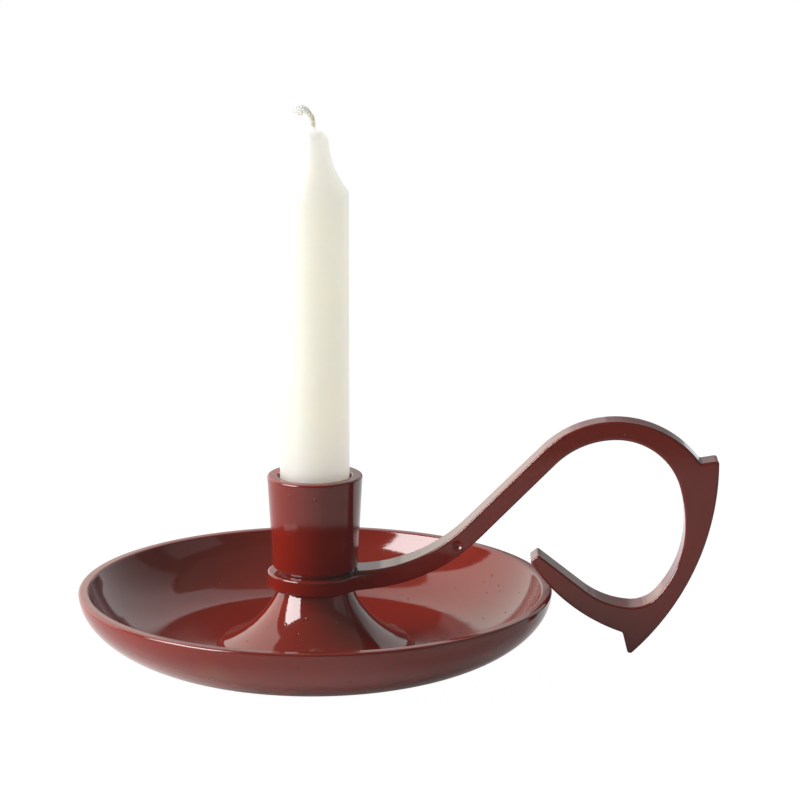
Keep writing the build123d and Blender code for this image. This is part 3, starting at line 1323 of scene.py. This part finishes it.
@dataclass
class Studio:
    """White table, soft light from the left and the photograph's camera."""

    camera_place: Spot = (0.0268, -1.2213, 0.3672)
    camera_tilt: float = 76.93
    lens: float = 180.0
    even_light: float = 0.03
    paper: Colour = (0.94, 0.91, 0.80, 1.0)
    paper_glow: float = 1.08
    lamp_aim: Spot = (0.0, 0.0, 0.05)
    cards: tuple[Card, ...] = (
        Card("ceiling", (-180.0, 180.0), (48.0, 90.0), (0.31, 0.31), 2.8, WARM),
        Card("front_wall", (-180.0, 180.0), (-1.0, 48.0), (0.21, 0.21), 2.8, WARM),
        Card("window", (-86.0, -46.0), (10.0, 50.0), (16.5, 16.5)),
        Card("left_screen", (-175.0, -105.0), (-1.0, 57.0), (1.30, 2.7), 2.2, (1.0, 0.965, 0.88)),
        Card("back_screen", (146.0, 188.0), (6.0, 56.0), (0.98, 0.75)),
        Card("back_gap", (162.0, 177.0), (4.0, 16.0), (0.27, 0.27), 2.0),
        Card("back_foot", (150.0, 177.0), (-1.0, 4.0), (0.36, 0.36), 2.0),
        Card("right_screen", (110.0, 146.0), (0.0, 46.0), (0.45, 1.0)),
        Card("right_sheet", (58.0, 92.0), (0.0, 38.0), (0.60, 0.45)),
    )
    lamps: tuple[Lamp, ...] = (
        Lamp("left_lamp", -93.0, 36.0, 8.0, Lit.HOLDER),
        Lamp("side_lamp", -72.0, 14.0, 5.4, Lit.HOLDER),
        Lamp("behind_lamp", 180.0, 35.0, 2.2),
        Lamp("key_lamp", -85.0, 24.0, 9.2, Lit.CANDLE),
        Lamp("back_lamp", -150.0, 25.0, 5.5, Lit.CANDLE, 1.2, 0.9),
        Lamp("far_lamp", 125.0, 22.0, 9.5, Lit.CANDLE, 1.2, 0.9),
        Lamp("near_lamp", 15.0, 15.0, 8.2, Lit.CANDLE, 1.2, 0.9),
    )

    def build(self) -> None:
        """Make the camera, the surroundings, the table, the cards and the lamps."""
        bpy.context.scene.view_settings.view_transform = "Standard"
        self._camera()
        self._surroundings()
        self._table()
        glow = self._card_glow()
        for card in self.cards:
            self._hang(card, glow)
        self._dark_edge(glow)
        groups = {lit: self._group(lit, "wax_candle", "braided_wick") for lit in (Lit.CANDLE, Lit.HOLDER)}
        for lamp in self.lamps:
            self._light(lamp, groups.get(lamp.lit))

    def _camera(self) -> None:
        """Set the camera at the photograph's place."""
        data = bpy.data.cameras.new("camera")
        data.lens = self.lens
        data.sensor_width = 36.0
        camera = put("camera", data)
        camera.location = self.camera_place
        camera.rotation_euler = (math.radians(self.camera_tilt), 0.0, 0.0)
        bpy.context.scene.camera = camera

    def _surroundings(self) -> None:
        """Make white surroundings where they are seen, and a low even light."""
        world = bpy.data.worlds.new("studio")
        world.use_nodes = True
        bpy.context.scene.world = world
        net = Net(world.node_tree)
        path = net.node("ShaderNodeLightPath").outputs
        seen = net.calc("ADD", path["Is Camera Ray"], path["Is Glossy Ray"], clamp=True)
        seen = net.calc("ADD", seen, path["Is Transmission Ray"], clamp=True)
        strength = net.calc("MULTIPLY_ADD", seen, 1.0 - self.even_light, self.even_light)
        net.feed(net.tree.nodes["Background"], {"Color": (*WHITE, 1.0), "Strength": strength})

    def _table(self) -> None:
        """Make a pale table that keeps a soft shadow."""
        mesh = bpy.data.meshes.new("table")
        mesh.from_pydata([(-3, -3, 0), (3, -3, 0), (3, 3, 0), (-3, 3, 0)], [], [(0, 1, 2, 3)])
        mesh.materials.append(self._white_paper())
        put("table", mesh)

    def _white_paper(self) -> bpy.types.Material:
        """Paper that is white to the camera, and shaded in the gloss under and before the pan.

        Returns:
            The material.
        """
        camera_share, shade, shade_beside = 0.92, 0.6, 0.3
        coat = Coat("white_paper")
        coat.feed(coat.shader, {"Base Color": self.paper, "Roughness": 0.9, "Specular IOR Level": 0.0})
        path = coat.node("ShaderNodeLightPath").outputs
        gloss = coat.calc("ADD", path["Is Glossy Ray"], path["Is Transmission Ray"], clamp=True)
        # In metres: bright behind the object and at its left, dark under the pan, half bright before it
        here = coat.coordinates()
        spot = coat.split(here)
        behind = coat.ramp(spot["Y"], -0.06, 0.10)
        beside = coat.product(coat.ramp(spot["X"], -0.01, -0.075), 0.8)
        lit = coat.calc("MULTIPLY_ADD", coat.calc("MAXIMUM", behind, beside), 0.9, 0.08)
        away = coat.node("ShaderNodeVectorMath", {0: here}, operation="LENGTH").outputs["Value"]
        shaded = coat.calc("MULTIPLY_ADD", coat.ramp(spot["X"], 0.01, 0.05), -shade_beside, shade)
        before = coat.product(coat.ramp(away, 0.055, 0.075), shaded)
        in_gloss = coat.product(gloss, coat.calc("MAXIMUM", lit, before))
        share = coat.calc("MULTIPLY_ADD", path["Is Camera Ray"], camera_share, in_gloss)
        glow = coat.node("ShaderNodeEmission", {"Strength": self.paper_glow})
        coat.surface(coat.node("ShaderNodeMixShader", {0: share, 1: coat.shader, 2: glow}))
        return coat.material

    @staticmethod
    def _card_glow() -> bpy.types.Material:
        """Glow of the cards, read from their points.

        Returns:
            The material.
        """
        coat = Coat("card_glow")
        coat.tree.nodes.remove(coat.shader)
        level = coat.node("ShaderNodeAttribute", attribute_name="glow")
        coat.surface(coat.node("ShaderNodeEmission", {"Color": level.outputs["Color"]}))
        return coat.material

    @staticmethod
    def _show_in_gloss(mesh: bpy.types.Mesh, levels: list[float], tint: Tint, glow: bpy.types.Material) -> None:
        """Put up a sheet that only the gloss shows.

        Args:
            mesh: Its mesh.
            levels: Glow at each of its points.
            tint: Colour of the glow.
            glow: Its material.
        """
        colours = [part for level in levels for part in (*(level * share for share in tint), 1.0)]
        mesh.attributes.new("glow", "FLOAT_COLOR", "POINT").data.foreach_set("color", colours)
        mesh.materials.append(glow)
        sheet = put(mesh.name, mesh)
        sheet.visible_camera = False
        sheet.visible_diffuse = False
        sheet.visible_shadow = False

    def _hang(self, card: Card, glow: bpy.types.Material) -> None:
        """Hang a card round the object.

        Args:
            card: Card to hang.
            glow: Material of the cards.
        """
        columns, rows = 48, 12
        points, levels, faces = [], [], []
        for column in range(columns + 1):
            share = column / columns
            bearing = card.bearings[0] + (card.bearings[1] - card.bearings[0]) * share
            for row in range(rows + 1):
                height = card.heights[0] + (card.heights[1] - card.heights[0]) * row / rows
                points.append(towards(bearing, height) * card.reach)
                levels.append(card.glow[0] + (card.glow[1] - card.glow[0]) * share)
                if column < columns and row < rows:
                    corner = column * (rows + 1) + row
                    faces.append((corner, corner + 1, corner + rows + 2, corner + rows + 1))
        mesh = bpy.data.meshes.new(card.name)
        mesh.from_pydata(points, [], faces)
        self._show_in_gloss(mesh, levels, card.tint, glow)

    def _dark_edge(self, glow: bpy.types.Material) -> None:
        """Set up a dark strip at the table's front edge.

        Args:
            glow: Material of the cards.
        """
        left, right, front, top, level = -0.28, 0.53, -0.335, 0.10, 0.2
        corners = [(left, front, 0), (right, front, 0), (right, front, top), (left, front, top)]
        mesh = bpy.data.meshes.new("dark_edge")
        mesh.from_pydata(corners, [], [(0, 1, 2, 3)])
        self._show_in_gloss(mesh, [level] * len(corners), WARM, glow)

    @staticmethod
    def _group(lit: Lit, *pieces: str) -> bpy.types.Collection:
        """Group pieces for the lamps that reach only them, or all but them.

        Args:
            lit: What the lamps reach.
            *pieces: Names of the pieces.

        Returns:
            The group.
        """
        group = bpy.data.collections.new(lit.value)
        for piece in pieces:
            group.objects.link(bpy.data.objects[piece])
        if lit is Lit.HOLDER:
            for link in group.collection_objects:
                link.light_linking.link_state = "EXCLUDE"
        return group

    def _light(self, lamp: Lamp, group: bpy.types.Collection | None) -> None:
        """Put up a lamp.

        Args:
            lamp: Lamp to put up.
            group: Group that says what it reaches, or None for all.
        """
        away = towards(lamp.bearing, lamp.height)
        data = bpy.data.lights.new(lamp.name, "AREA")
        data.size = lamp.size
        data.energy = lamp.power
        light = put(lamp.name, data)
        light.location = away * lamp.distance + Vector(self.lamp_aim)
        light.rotation_euler = (-away).to_track_quat("-Z", "Y").to_euler()
        light.visible_camera = False
        light.visible_glossy = False
        if group:
            light.light_linking.receiver_collection = group


def main() -> None:
    """Build the pieces in order, then the studio; each piece logs its face count."""
    logging.basicConfig(level=logging.INFO, format="%(name)s: %(message)s")
    effects = Effects()
    workshop = Workshop()
    enamel = EnamelFinish().material(effects)
    zinc = ZincFinish().material(effects)
    castings = [casting.build(workshop, enamel) for casting in (DripPan(), Pedestal(), CandleCup())]
    handle = dress("handle", EnamelFinish(name="handle_enamel", edge=0.7).material(effects))
    EnamelMarks().build(workshop, enamel, castings, handle)
    dress("tie_screw", zinc)
    dress("washer", zinc)
    Candle().build(workshop, WaxFinish().material(effects), CottonFinish().material(effects))
    Studio().build()


if __name__ == "__main__":
    main()
